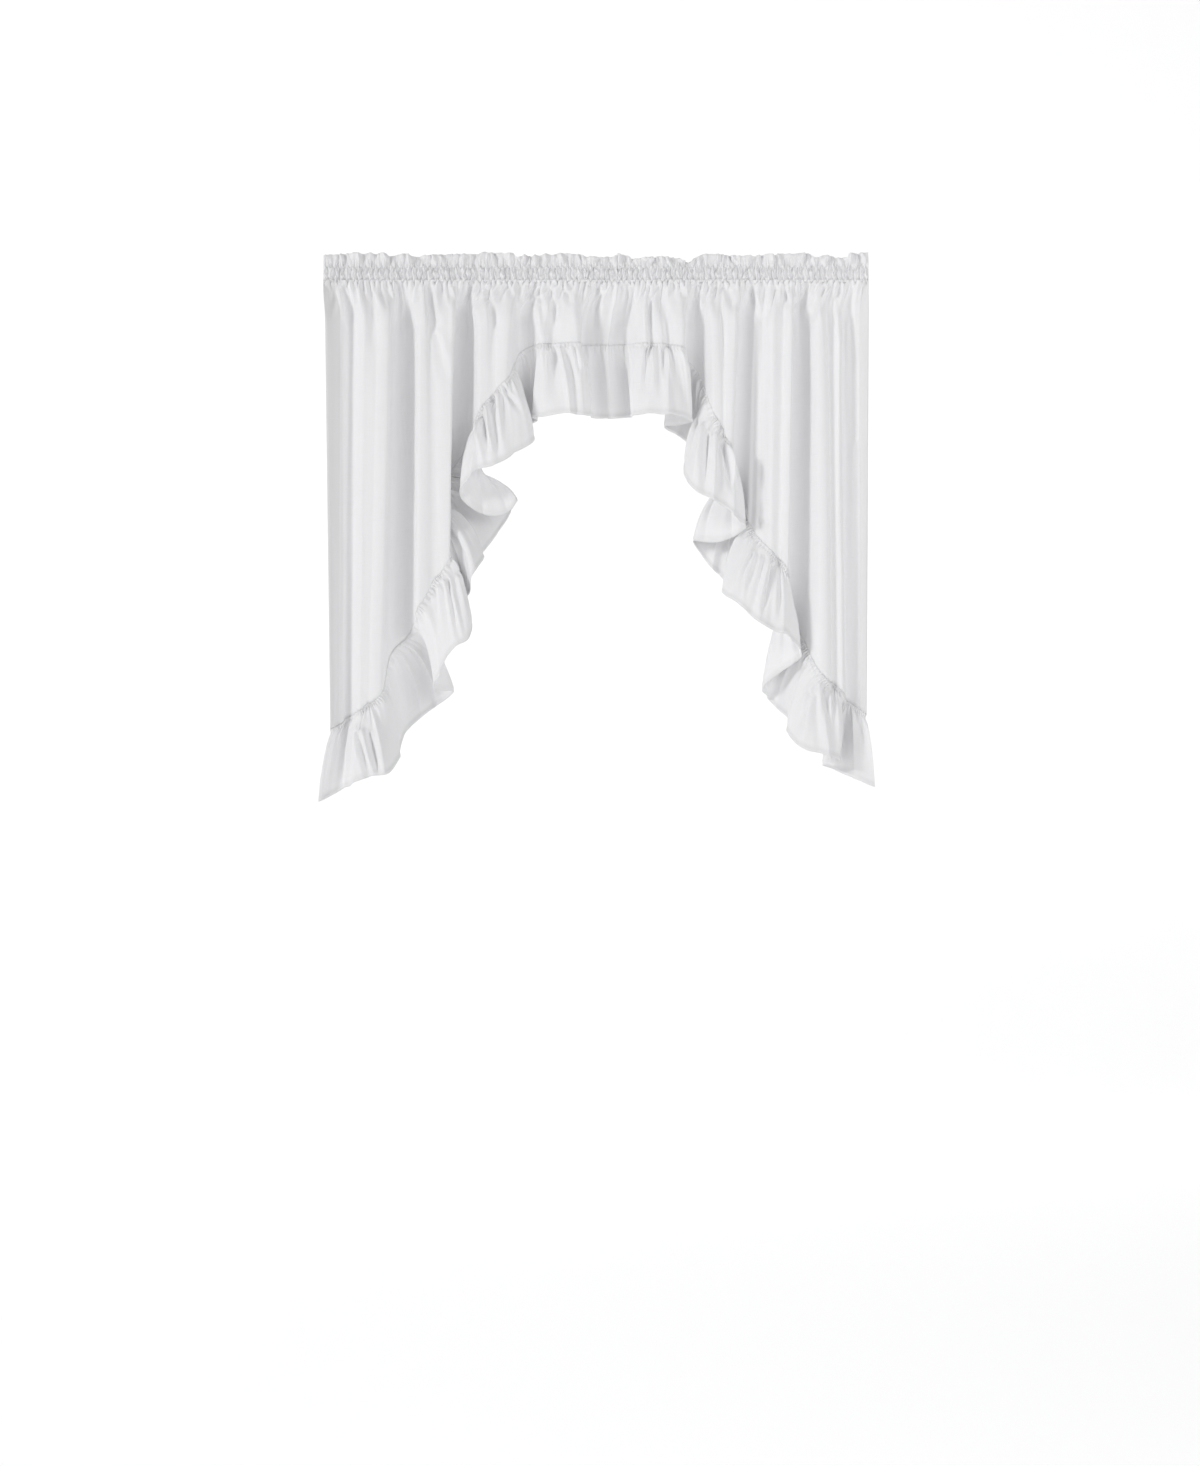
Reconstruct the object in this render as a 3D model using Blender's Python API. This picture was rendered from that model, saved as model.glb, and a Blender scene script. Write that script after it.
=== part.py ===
"""A pair of ruffled window swags, shirred on a rod and hanging as a pair.

Each swag is three pieces of cloth: a heading strip (the frill above the rod and the rod pocket
below it), a panel that falls from the pocket in deep folds and is cut away towards the middle of
the window, and a gathered ruffle sewn along that cut edge.

Frame: metres, +Z up, +X to the viewer's right, +Y towards the window, so the front faces -Y.
The origin is the middle of the top edge, over the rod's line. The tables are in millimetres.
"""

import math
from collections import namedtuple

import bmesh
import bpy
from mathutils import Vector

MM = 0.001

# Driving sizes, in millimetres
CLOTH = 1.5
SEAM_GAP = 1.2
HEADING_GAP = 0.6
FRILL_HEIGHT = 24.0
POCKET_HEIGHT = 28.0
POCKET_HALF_DEPTH = 10.5
POCKET_HALF_CLEAR = 11.2
FOOT_FORWARD = 5.0
RUFFLE_DROP = 130.0
SEAM_BAND = 6.0
FOLDS_FORM_BY = 85.0
FOLDS_PART_BY = 55.0
FOLDS_SETTLE_BY = 190.0
FOLD_OVERLAP = 0.0085
FOLD_LEAN = 0.2
PANEL_TOP = FRILL_HEIGHT + POCKET_HEIGHT

# Mesh density: the gathers are two columns each, so COLUMNS is twice their number
COLUMNS = 84
RUFFLE_COLUMNS = 137
PANEL_ROWS = (0.0, 0.05, 0.12, 0.21, 0.34, 0.5, 0.67, 0.84, 1.0)
RUFFLE_ROWS = (0.0, 0.33, 0.67, 1.0)

# Edges that turn more than this many degrees are shaded sharp
SHARP_FROM = 42.0

# The shirring's small pleats: half their depth on the pocket, and how far they run down
GATHER_DEPTH = 2.4
GATHER_REACH = 75.0

# One row for each turn of a panel's folds, from its edge at the middle of the window outwards.
# rod_x and seam_x: its place across at the pocket and at the ruffle seam. top and low: its depth
# before (-) or behind (+) the rod's line under the pocket and at the seam. seam: the drop there.
Turn = namedtuple("Turn", "rod_x seam_x top low seam")
LEFT_TURNS = (
    Turn(38, 23, 3, 4, 163),
    Turn(-10, -19, 13, 15, 162),
    Turn(-39, -40, -22, -24, 162),
    Turn(-76, -83, -4, -8, 162),
    Turn(-101, -98, -13, -14, 163),
    Turn(-128, -124, 12, 12, 170),
    Turn(-156, -167, -24, -28, 231),
    Turn(-184, -186, -8, -21, 254),
    Turn(-204, -207, -18, -22, 277),
    Turn(-234, -254, 20, 28, 385),
    Turn(-261, -266, -20, -25, 548),
    Turn(-294, -290, -7, -20, 582),
    Turn(-312, -315, -19, -24, 626),
    Turn(-340, -346, 16, 19, 694),
    Turn(-371, -388, -22, -28, 788),
    Turn(-392, -408, -11, -23, 800),
    Turn(-411, -420, -18, -22, 812),
    Turn(-431, -438, 12, 8, 824),
    Turn(-449, -453, 2, 0, 836),
    Turn(-483, -473, -14, -14, 846),
)
RIGHT_TURNS = (
    Turn(38.5, 18, 24, 20, 163),
    Turn(60, 52, 20, 22, 160),
    Turn(83, 83, -14, -18, 162),
    Turn(96, 94, -3, -10, 162),
    Turn(108, 112, -15, -20, 163),
    Turn(121, 126, -5, -12, 164),
    Turn(144, 146, -24, -28, 170),
    Turn(174, 168, 12, 12, 193),
    Turn(204, 206, -23, -26, 293),
    Turn(220, 220, -12, -23, 316),
    Turn(241, 232, -24, -27, 341),
    Turn(268, 252, 15, 19, 404),
    Turn(284, 273, 0, 2, 480),
    Turn(295, 286, 5, -6, 506),
    Turn(310, 305, -19, -24, 530),
    Turn(328, 319, -9, -20, 546),
    Turn(341, 332, -22, -26, 561),
    Turn(360, 346, 14, 19, 650),
    Turn(390, 397, -18, -22, 750),
    Turn(411, 417, -1, -10, 764),
    Turn(426, 433, -12, -14, 778),
    Turn(444, 449, 5, 8, 796),
    Turn(483, 479, -4, -4, 820),
)

# One row for each turn of a ruffle's hem. at: its place along the panel's turns, 2.5 being half
# way from turn 2 to turn 3. hem_x and depth: where the hem passes there.
HemTurn = namedtuple("HemTurn", "at hem_x depth")
LEFT_HEM = (
    HemTurn(0.0, 27, 4),
    HemTurn(1.0, -6, 22),
    HemTurn(1.6, -10, -14),
    HemTurn(2.6, -44, -32),
    HemTurn(4.2, -98, -18),
    HemTurn(4.6, -112, 2),
    HemTurn(5.0, -106, 16),
    HemTurn(5.4, -142, 24),
    HemTurn(5.65, -108, -14),
    HemTurn(6.0, -144, -36),
    HemTurn(7.0, -180, -41),
    HemTurn(8.0, -222, -34),
    HemTurn(8.4, -238, -14),
    HemTurn(8.7, -190, 0),
    HemTurn(9.0, -135, 8),
    HemTurn(9.15, -174, 42),
    HemTurn(9.27, -204, 22),
    HemTurn(9.37, -199, -12),
    HemTurn(9.5, -218, -36),
    HemTurn(9.65, -231, -2),
    HemTurn(9.8, -245, -14),
    HemTurn(9.95, -222, -28),
    HemTurn(10.3, -224, -42),
    HemTurn(10.7, -238, -44),
    HemTurn(11.3, -262, -38),
    HemTurn(12.0, -277, -24),
    HemTurn(12.4, -286, 2),
    HemTurn(12.75, -254, 16),
    HemTurn(13.0, -294, 38),
    HemTurn(13.4, -342, 38),
    HemTurn(13.8, -350, -8),
    HemTurn(14.3, -369, -38),
    HemTurn(15.0, -398, -40),
    HemTurn(16.0, -427, -32),
    HemTurn(17.0, -450, -6),
    HemTurn(18.0, -470, -10),
    HemTurn(19.0, -491, -20),
)
RIGHT_HEM = (
    HemTurn(0.0, 21, 18),
    HemTurn(0.9, 60, 28),
    HemTurn(1.4, 64, -6),
    HemTurn(2.0, 74, -28),
    HemTurn(3.5, 106, -40),
    HemTurn(5.0, 136, -40),
    HemTurn(6.2, 168, -22),
    HemTurn(6.5, 150, 4),
    HemTurn(6.8, 122, 12),
    HemTurn(7.1, 153, 24),
    HemTurn(7.4, 180, 12),
    HemTurn(7.65, 153, -12),
    HemTurn(8.2, 174, -37),
    HemTurn(9.0, 206, -43),
    HemTurn(10.0, 242, -36),
    HemTurn(10.4, 263, -12),
    HemTurn(10.7, 230, -2),
    HemTurn(11.0, 174, 14),
    HemTurn(11.4, 195, 36),
    HemTurn(11.8, 238, 22),
    HemTurn(12.1, 225, -14),
    HemTurn(13.0, 252, -37),
    HemTurn(14.0, 284, -43),
    HemTurn(15.0, 316, -41),
    HemTurn(16.0, 345, -30),
    HemTurn(16.4, 364, -10),
    HemTurn(16.7, 324, 8),
    HemTurn(17.0, 298, 20),
    HemTurn(17.3, 312, 42),
    HemTurn(17.55, 346, 24),
    HemTurn(17.75, 339, -10),
    HemTurn(18.2, 366, -37),
    HemTurn(19.0, 398, -40),
    HemTurn(19.6, 430, -30),
    HemTurn(20.3, 424, 2),
    HemTurn(20.6, 404, 24),
    HemTurn(20.9, 430, 34),
    HemTurn(21.2, 452, 6),
    HemTurn(21.6, 472, -8),
    HemTurn(22.0, 494, -4),
)

# The frill's uneven top edge: how far it stands below the highest point at places across
Crest = namedtuple("Crest", "x below")
LEFT_CRESTS = (
    Crest(-484, 4),
    Crest(-430, 1),
    Crest(-380, 1),
    Crest(-360, 5),
    Crest(-338, 1),
    Crest(-320, 7),
    Crest(-290, 3),
    Crest(-230, 2),
    Crest(-190, 0),
    Crest(-152, 1),
    Crest(-138, 6),
    Crest(-105, 4),
    Crest(-45, 1),
    Crest(-12, 7),
    Crest(25, 7),
    Crest(39, 4),
)
RIGHT_CRESTS = (
    Crest(39, 3),
    Crest(52, 4),
    Crest(67, 11),
    Crest(85, 8),
    Crest(122, 7),
    Crest(150, 10),
    Crest(165, 17),
    Crest(178, 9),
    Crest(190, 2),
    Crest(212, 2),
    Crest(262, 6),
    Crest(300, 3),
    Crest(376, 1),
    Crest(388, 7),
    Crest(415, 5),
    Crest(442, 10),
    Crest(450, 1),
    Crest(484, 0),
)


def smooth(share):
    """A share eased from 0 to 1, and held outside that range."""
    held = min(max(share, 0.0), 1.0)
    return held * held * (3 - 2 * held)


def mix(a, b, share):
    return a + (b - a) * share


def hermite(a, b, slope_a, slope_b, t):
    """A cubic from a to b with the given end slopes."""
    ease = t * t * (3 - 2 * t)
    return mix(a, b, ease) + slope_a * t * (1 - t) ** 2 - slope_b * t * t * (1 - t)


def slope_at(values, index):
    """The slope of a smooth line through evenly numbered values."""
    before = max(index - 1, 0)
    after = min(index + 1, len(values) - 1)
    return (values[after] - values[before]) / (after - before)


def through(values, place):
    """A smooth line through the values, read at a place such as 2.5."""
    index = min(int(place), len(values) - 2)
    ends = slope_at(values, index), slope_at(values, index + 1)
    return hermite(values[index], values[index + 1], *ends, place - index)


def number_along(marks, mark):
    """Where a mark lies among rising marks, as a number such as 2.5."""
    index = 0
    while index < len(marks) - 2 and marks[index + 1] <= mark:
        index += 1
    return index + (mark - marks[index]) / (marks[index + 1] - marks[index])


class Swag:
    """The shape of one swag's cloth, worked out from its tables. outward is -1 on the left."""

    def __init__(self, turns, hem, crests, outward):
        self.turns = turns
        self.hem = hem
        self.crests = sorted(crests)
        self.outward = outward
        self.seams = [turn.seam for turn in turns]
        self.lengths = self.walk(len(turns) - 1, lambda place: self.fold_line(place, 1, 110))
        self.flat_width = self.lengths[-1]
        self.hem_lengths = self.walk(len(hem) - 1, self.hem_line)

    def walk(self, turns, line):
        """The lengths walked along a line, at each twentieth of a turn."""
        points = [line(step / 20) for step in range(20 * turns + 1)]
        walked = [0.0]
        for before, here in zip(points, points[1:]):
            walked.append(walked[-1] + math.dist(before, here))
        return walked

    def fold_line(self, place, formed, below):
        """(x, depth) of the cloth, seen from above, at a drop below the pocket.

        formed is 0 at the pocket, where the cloth is shirred flat, and 1 in the full folds.
        Every fold leans to +X, so its crest overhangs the valley on that side.
        """
        index = min(int(place), len(self.turns) - 2)
        near = range(max(index - 1, 0), min(index + 3, len(self.turns)))
        across, depths = {}, {}
        for i in near:
            turn = self.turns[i]
            length = turn.seam - PANEL_TOP
            settled = min(below / min(length, FOLDS_SETTLE_BY), 1.0)
            across[i] = mix(turn.rod_x, turn.seam_x, min(below / length, 1.0))
            depths[i] = mix(turn.top, turn.low, settled)
        slopes = []
        for i in (index, index + 1):
            before, after = max(i - 1, near[0]), min(i + 1, near[-1])
            plain = (across[after] - across[before]) / (after - before)
            height = abs(depths[after] - depths[i]) + abs(depths[i] - depths[before])
            slopes.append(plain + self.outward * FOLD_OVERLAP * height**2 * formed)
        t = place - index
        depth = mix(depths[index], depths[index + 1], smooth(t)) * formed
        x = hermite(across[index], across[index + 1], *slopes, t) - FOLD_LEAN * depth
        return x, depth

    def place_at(self, flat):
        """The place along the turns at a distance across the flat cloth."""
        return number_along(self.lengths, min(flat, self.flat_width)) / 20

    def rod_x(self, flat):
        """The place across of the cloth on the rod, where its gathers are evenly spread."""
        return mix(self.turns[0].rod_x, self.turns[-1].rod_x, flat / self.flat_width)

    def gathers(self, flat):
        """The shirring's small pleats, from -1 to 1, uneven from one to the next."""
        column = flat * COLUMNS / self.flat_width
        uneven = 0.7 + 0.3 * math.sin(column * 1.7)
        ends = smooth(column / 3) * smooth((COLUMNS - column) / 3)
        return math.cos(math.pi * column) * uneven * ends

    def cloth_point(self, flat, drop):
        """A point of the panel's cloth, at a distance across it and a drop below the top edge."""
        below = drop - PANEL_TOP
        formed = smooth((below + 10) / FOLDS_FORM_BY)
        x, depth = self.fold_line(self.place_at(flat), formed, below)
        x = mix(self.rod_x(flat), x, smooth(below / FOLDS_PART_BY))
        reach = GATHER_REACH * (0.8 + 0.5 * math.sin(flat / 11))
        depth += GATHER_DEPTH * self.gathers(flat) * (1 - smooth(below / reach))
        depth -= FOOT_FORWARD * (1 - smooth(below / FOLDS_FORM_BY))
        return Vector((x, depth, -drop))

    def seam_tilt(self, flat):
        """The sine and cosine of the ruffle seam's angle on the flat cloth."""
        step = 14.0
        before, after = max(flat - step, 0.0), min(flat + step, self.flat_width)
        rise = through(self.seams, self.place_at(after)) - through(self.seams, self.place_at(before))
        slope = rise / (after - before)
        return slope / math.hypot(1, slope), 1 / math.hypot(1, slope)

    def seam_point(self, flat, apart):
        """A point set apart from the ruffle seam, square to it along the cloth."""
        sine, cosine = self.seam_tilt(flat)
        aside = min(max(flat - apart * sine, 0.0), self.flat_width)
        return aside, through(self.seams, self.place_at(flat)) + apart * cosine

    def panel_grid(self):
        """The panel's rows of points, from the pocket down to the ruffle seam."""
        columns = [self.flat_width * column / COLUMNS for column in range(COLUMNS + 1)]
        rows = []
        for share in PANEL_ROWS:
            row = []
            for flat in columns:
                aside, low = self.seam_point(flat, -SEAM_GAP / 2)
                drop = mix(PANEL_TOP + HEADING_GAP, low, share)
                row.append(self.cloth_point(mix(flat, aside, share), drop))
            rows.append(row)
        return rows

    def hem_line(self, number):
        """(x, depth) of the ruffle's hem at a number along its own turns."""
        x = through([turn.hem_x for turn in self.hem], number)
        return x, through([turn.depth for turn in self.hem], number)

    def hem_number(self, flat):
        """The number along the hem's own turns that lies under a distance across the panel."""
        return number_along([turn.at for turn in self.hem], self.place_at(flat))

    def ruffle_column(self, seam, band, number, steep):
        """A column of the ruffle: its gathered band, then the flare down to the hem.

        The cloth stands out from a steep seam before it falls.
        """
        x, depth = self.hem_line(number)
        spread = Vector((x - band.x, depth - band.y, 0.0))
        free = RUFFLE_DROP - SEAM_BAND
        reach = min(spread.length, 0.88 * free)
        spread *= reach / max(spread.length, 1e-6)
        fall = math.sqrt(free**2 - reach**2)
        column = [seam]
        for share in RUFFLE_ROWS:
            bulge = 0.45 + 0.25 * steep
            flare = share * (1 + bulge - bulge * share)
            column.append(band + spread * flare - Vector((0, 0, fall * share ** (1 + bulge / 2))))
        return column

    def ruffle_grid(self):
        """The ruffle's rows of points, finer than the panel's columns where its hem is longer."""
        flats = [self.flat_width * column / COLUMNS for column in range(COLUMNS + 1)]
        ends = []
        for flat in flats:
            seam = self.cloth_point(*self.seam_point(flat, SEAM_GAP / 2))
            band = self.cloth_point(*self.seam_point(flat, SEAM_GAP / 2 + SEAM_BAND))
            number = self.hem_number(flat)
            walked = through(self.hem_lengths, min(number, len(self.hem) - 1) * 20)
            ends.append((seam, band, number, abs(self.seam_tilt(flat)[0]), walked))
        columns = []
        for here, there in zip(ends, ends[1:]):
            share = (there[4] - here[4]) / self.hem_lengths[-1]
            parts = max(1, round(share * RUFFLE_COLUMNS))
            for part in range(parts):
                between = [mix(a, b, part / parts) for a, b in zip(here[:4], there[:4])]
                columns.append(self.ruffle_column(*between))
        columns.append(self.ruffle_column(*ends[-1][:4]))
        return [list(row) for row in zip(*columns)]

    def heading_section(self, flat):
        """The heading strip's section: its outline up the front, over and down, then the hollow."""
        x = self.rod_x(flat)
        pleat = self.gathers(flat)
        number = number_along([crest.x for crest in self.crests], x)
        top = -through([crest.below for crest in self.crests], number) - 0.7 * (1 - pleat)
        frill = 3.6 * math.sin(x / 7.3) + 2.2 * math.sin(x / 3.9 + 1) + 1.2 * pleat
        middle = -FRILL_HEIGHT - POCKET_HEIGHT / 2
        foot = GATHER_DEPTH * pleat - FOOT_FORWARD
        wall = POCKET_HALF_DEPTH - 2.0 * pleat
        outline = [
            (foot - CLOTH, -PANEL_TOP),
            (-wall, middle - 7),
            (-wall, middle + 7),
            (0.8 * pleat - CLOTH - 2, -FRILL_HEIGHT),
            (frill - 0.6 * CLOTH, top),
            (frill + 0.6 * CLOTH, top),
            (0.8 * pleat + CLOTH - 2, -FRILL_HEIGHT),
            (wall, middle + 7),
            (wall, middle - 7),
            (foot + CLOTH, -PANEL_TOP),
        ]
        inside = wall - CLOTH
        hollow = [
            (-inside, middle - 6),
            (-5.5, middle - POCKET_HALF_CLEAR),
            (-1.5, middle - POCKET_HALF_CLEAR),
            (inside, middle - 6),
            (inside, middle + 6),
            (1.0, middle + POCKET_HALF_CLEAR),
            (-3.5, middle + POCKET_HALF_CLEAR),
            (-inside, middle + 6),
        ]
        points = [Vector((x, y, z)) for y, z in outline + hollow]
        return points[: len(outline)], points[len(outline) :]


def clear_scene():
    for thing in list(bpy.data.objects):
        bpy.data.objects.remove(thing)


def cloth_material(name, colour, roughness):
    material = bpy.data.materials.new(name)
    material.use_nodes = True
    shader = material.node_tree.nodes["Principled BSDF"]
    shader.inputs["Base Color"].default_value = (*colour, 1.0)
    shader.inputs["Roughness"].default_value = roughness
    shader.inputs["Metallic"].default_value = 0.0
    return material


def place_object(name, mesh_source, material):
    """Makes the named object of a bmesh, with its material."""
    mesh = bpy.data.meshes.new(name)
    mesh_source.to_mesh(mesh)
    mesh_source.free()
    mesh.materials.append(material)
    made = bpy.data.objects.new(name, mesh)
    bpy.context.scene.collection.objects.link(made)
    return made


def smooth_shading(part):
    """Shades a part smooth, but for its pleats and cut edges."""
    part.data.shade_smooth()
    part.data.set_sharp_from_angle(angle=math.radians(SHARP_FROM))


def cloth_sheet(name, rows, material):
    """A sheet of cloth through rows of points, thickened evenly to both sides."""
    sheet = bmesh.new()
    size = {"x_segments": len(rows[0]) - 1, "y_segments": len(rows) - 1, "size": 1}
    made = bmesh.ops.create_grid(sheet, **size)
    points = [point for row in rows for point in row]
    for vert, point in zip(made["verts"], points):
        vert.co = point * MM
    part = place_object(name, sheet, material)
    solidify = part.modifiers.new("thickness", "SOLIDIFY")
    solidify.thickness = CLOTH * MM
    solidify.offset = 0.0
    depsgraph = bpy.context.evaluated_depsgraph_get()
    thick = bpy.data.meshes.new_from_object(part.evaluated_get(depsgraph))
    part.modifiers.remove(solidify)
    part.data = thick
    smooth_shading(part)


def add_loop(mesh, points):
    """A closed loop of new vertices and edges through the points."""
    verts = [mesh.verts.new(point * MM) for point in points]
    edges = [mesh.edges.new((verts[i - 1], verts[i])) for i in range(len(verts))]
    return verts, edges


def heading_strip(name, swag, material):
    """The heading strip: its section, with the pocket's hollow, drawn out along the shirring."""
    strip = bmesh.new()
    outline, hollow = swag.heading_section(0.0)
    order, edges = add_loop(strip, outline)
    inner, inner_edges = add_loop(strip, hollow)
    order += inner
    filled = bmesh.ops.triangle_fill(strip, use_beauty=True, edges=edges + inner_edges)
    faces = [item for item in filled["geom"] if isinstance(item, bmesh.types.BMFace)]
    for column in range(1, COLUMNS + 1):
        region = {edge for face in faces for edge in face.edges}
        drawn = bmesh.ops.extrude_face_region(strip, geom=faces + list(region) + order)
        faces = [item for item in drawn["geom"] if isinstance(item, bmesh.types.BMFace)]
        fresh = {vert for face in faces for vert in face.verts}
        moved = []
        for vert in order:
            moved += [edge.other_vert(vert) for edge in vert.link_edges
                      if edge.other_vert(vert) in fresh]
        outline, hollow = swag.heading_section(swag.flat_width * column / COLUMNS)
        for vert, point in zip(moved, outline + hollow):
            vert.co = point * MM
        order = moved
    bmesh.ops.recalc_face_normals(strip, faces=strip.faces)
    smooth_shading(place_object(name, strip, material))


def build_swag(side, swag, material):
    heading_strip(f"{side}_heading", swag, material)
    cloth_sheet(f"{side}_panel", swag.panel_grid(), material)
    cloth_sheet(f"{side}_ruffle", swag.ruffle_grid(), material)


def main():
    clear_scene()
    white = cloth_material("white_cotton", (0.86, 0.86, 0.87), 0.85)
    build_swag("left", Swag(LEFT_TURNS, LEFT_HEM, LEFT_CRESTS, -1), white)
    build_swag("right", Swag(RIGHT_TURNS, RIGHT_HEM, RIGHT_CRESTS, 1), white)


main()
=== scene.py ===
# %% [markdown]
# # A pair of ruffled cotton swags
#
# Two swags of white cotton hang side by side. Each has a frilled heading over a shirred pocket, a
# body that falls in deep folds and is cut away towards the middle of the pair, and a gathered
# ruffle along the cut edge. The CAD model already holds the sizes and the main folds. This script
# dresses it: every CAD sheet is replaced by a finer sheet of cloth on the same folds, with its
# gathers, puckers, hems and weave.

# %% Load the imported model
import bisect
import math
from collections import namedtuple

import bmesh
import bpy
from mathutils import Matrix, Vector, noise


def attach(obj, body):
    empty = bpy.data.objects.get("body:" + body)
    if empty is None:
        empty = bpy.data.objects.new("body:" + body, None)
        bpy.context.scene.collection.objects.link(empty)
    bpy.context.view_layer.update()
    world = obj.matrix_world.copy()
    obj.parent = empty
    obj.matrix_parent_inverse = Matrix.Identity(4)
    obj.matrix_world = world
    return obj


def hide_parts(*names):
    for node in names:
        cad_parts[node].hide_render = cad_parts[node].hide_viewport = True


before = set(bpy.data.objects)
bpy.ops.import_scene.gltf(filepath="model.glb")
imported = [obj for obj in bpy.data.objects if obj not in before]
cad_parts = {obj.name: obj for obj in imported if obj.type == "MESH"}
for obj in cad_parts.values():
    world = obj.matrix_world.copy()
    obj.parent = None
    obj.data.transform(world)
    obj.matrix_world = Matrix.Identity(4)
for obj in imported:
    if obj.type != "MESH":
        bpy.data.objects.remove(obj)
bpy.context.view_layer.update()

MM = 0.001

# %% [markdown]
# ## The camera
#
# The swags were photographed straight on. A long lens far away keeps the upright folds upright.
# The photograph is 1200 by 1466 pixels and one pixel is 1.774 mm at the cloth, so the view is
# 2.6 m high there. With the sensor fitted to the height, the lens follows from the distance.

# %% Camera
PIXEL = 1.774 * MM
PHOTO_WIDTH = 1200
PHOTO_HEIGHT = 1466
TOP_PIXEL = 253
MIDDLE_PIXEL = 596
CAMERA_AWAY = 5.0
SENSOR_HEIGHT = 36.0

camera_data = bpy.data.cameras.new("camera")
camera_data.sensor_fit = "VERTICAL"
camera_data.sensor_height = SENSOR_HEIGHT
camera_data.lens = camera_data.sensor_height * CAMERA_AWAY / (PHOTO_HEIGHT * PIXEL)
camera = bpy.data.objects.new("camera", camera_data)
camera.location = (
    (PHOTO_WIDTH / 2 - MIDDLE_PIXEL) * PIXEL,
    -CAMERA_AWAY,
    -(PHOTO_HEIGHT / 2 - TOP_PIXEL) * PIXEL,
)
camera.rotation_euler = (math.radians(90), 0, 0)
bpy.context.scene.collection.objects.link(camera)
bpy.context.scene.camera = camera
print("lens:", round(camera_data.lens, 1), "mm")

# %% [markdown]
# ## Floor and light
#
# The floor is a plain pale sheet that curves up far behind the swags, so there is no horizon line
# and still room to look at them from behind. A flat sheet would be simpler, but its far edge would
# cut across the picture. The backdrop glows a little, so that it stays clear white behind white
# cloth. The cloth needs light from one side: a large lamp far to the left models the folds, a weak
# one on the right softens their shadows, and a pale world fills the rest.

# %% Floor and backdrop
FLOOR_Z = -2.35
FLOOR_FRONT = -7.0
BACK_Y = 7.0
WALL_TOP = 5.0
FLOOR_HALF_WIDTH = 8.0
SWEEP_RADIUS = 1.5
FLOOR_GLOW = 0.42


def plain_finish(name, colour, roughness):
    material = bpy.data.materials.new(name)
    material.use_nodes = True
    shader = material.node_tree.nodes["Principled BSDF"]
    shader.inputs["Base Color"].default_value = (*colour, 1)
    shader.inputs["Roughness"].default_value = roughness
    return material


def pale_floor():
    sheet = bmesh.new()
    start = sheet.verts.new((-FLOOR_HALF_WIDTH, FLOOR_FRONT, FLOOR_Z))
    bend = sheet.verts.new((-FLOOR_HALF_WIDTH, BACK_Y - SWEEP_RADIUS, FLOOR_Z))
    sheet.edges.new((start, bend))
    bmesh.ops.spin(
        sheet, geom=[bend], cent=(-FLOOR_HALF_WIDTH, BACK_Y - SWEEP_RADIUS, FLOOR_Z + SWEEP_RADIUS),
        axis=(1, 0, 0), angle=math.radians(90), steps=16, use_duplicate=False,
    )
    top = max(sheet.verts, key=lambda vert: vert.co.z + vert.co.y)
    wall = sheet.verts.new((-FLOOR_HALF_WIDTH, BACK_Y, WALL_TOP))
    sheet.edges.new((top, wall))
    drawn = bmesh.ops.extrude_edge_only(sheet, edges=list(sheet.edges))
    moved = [item for item in drawn["geom"] if isinstance(item, bmesh.types.BMVert)]
    bmesh.ops.translate(sheet, verts=moved, vec=(2 * FLOOR_HALF_WIDTH, 0, 0))
    bmesh.ops.recalc_face_normals(sheet, faces=sheet.faces)
    mesh = bpy.data.meshes.new("floor")
    sheet.to_mesh(mesh)
    sheet.free()
    mesh.shade_smooth()
    finish = plain_finish("pale_floor", (0.9, 0.9, 0.9), 0.9)
    sockets = finish.node_tree.nodes["Principled BSDF"].inputs
    sockets["Emission Color"].default_value = (1, 1, 1, 1)
    sockets["Emission Strength"].default_value = FLOOR_GLOW
    mesh.materials.append(finish)
    floor = bpy.data.objects.new("floor", mesh)
    bpy.context.scene.collection.objects.link(floor)
    return floor


print("floor:", len(pale_floor().data.polygons), "faces")

# %% World and lamps
WORLD_STRENGTH = 0.365

world = bpy.data.worlds.new("studio")
bpy.context.scene.world = world
bpy.context.scene.view_settings.view_transform = "Standard"
world.use_nodes = True
sky = world.node_tree.nodes["Background"].inputs
sky["Color"].default_value = (0.99, 0.99, 1.0, 1)
sky["Strength"].default_value = WORLD_STRENGTH


def soft_lamp(name, place, aim, size, power):
    data = bpy.data.lights.new(name, "AREA")
    data.energy = power
    data.size = size
    lamp = bpy.data.objects.new(name, data)
    lamp.location = place
    lamp.rotation_euler = (Vector(aim) - Vector(place)).to_track_quat("-Z", "Y").to_euler()
    bpy.context.scene.collection.objects.link(lamp)
    return lamp


lamps = [
    soft_lamp("key_light", (-9.2, -5.2, 3.6), (0, 0, -0.45), 2.0, 405),
    soft_lamp("right_fill", (1.7, -2.2, 0.2), (0.3, 0, -0.45), 1.6, 18),
]
print("lamps:", len(lamps))

# %% [markdown]
# ## The folds, as tables
#
# A fold is easiest to describe from above: the cloth turns at a crest, runs back, and turns again
# in a valley. Each row below is one turn, from the swag's edge at the middle of the pair
# outwards, in millimetres. The same rows made the CAD solids, so the finer cloth lies on them.
# Cloth simulation could hang a swag too, but it would find folds of its own, and not these.

# %% Driving sizes
FRILL_HEIGHT = 24.0
POCKET_HEIGHT = 28.0
PANEL_TOP = FRILL_HEIGHT + POCKET_HEIGHT
POCKET_HALF_DEPTH = 10.5
FOOT_FORWARD = 5.0
RUFFLE_DROP = 130.0
SEAM_BAND = 6.0
FOLDS_FORM_BY = 85.0
FOLDS_PART_BY = 55.0
FOLDS_SETTLE_BY = 190.0
FOLD_OVERLAP = 0.0085
FOLD_LEAN = 0.2

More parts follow.
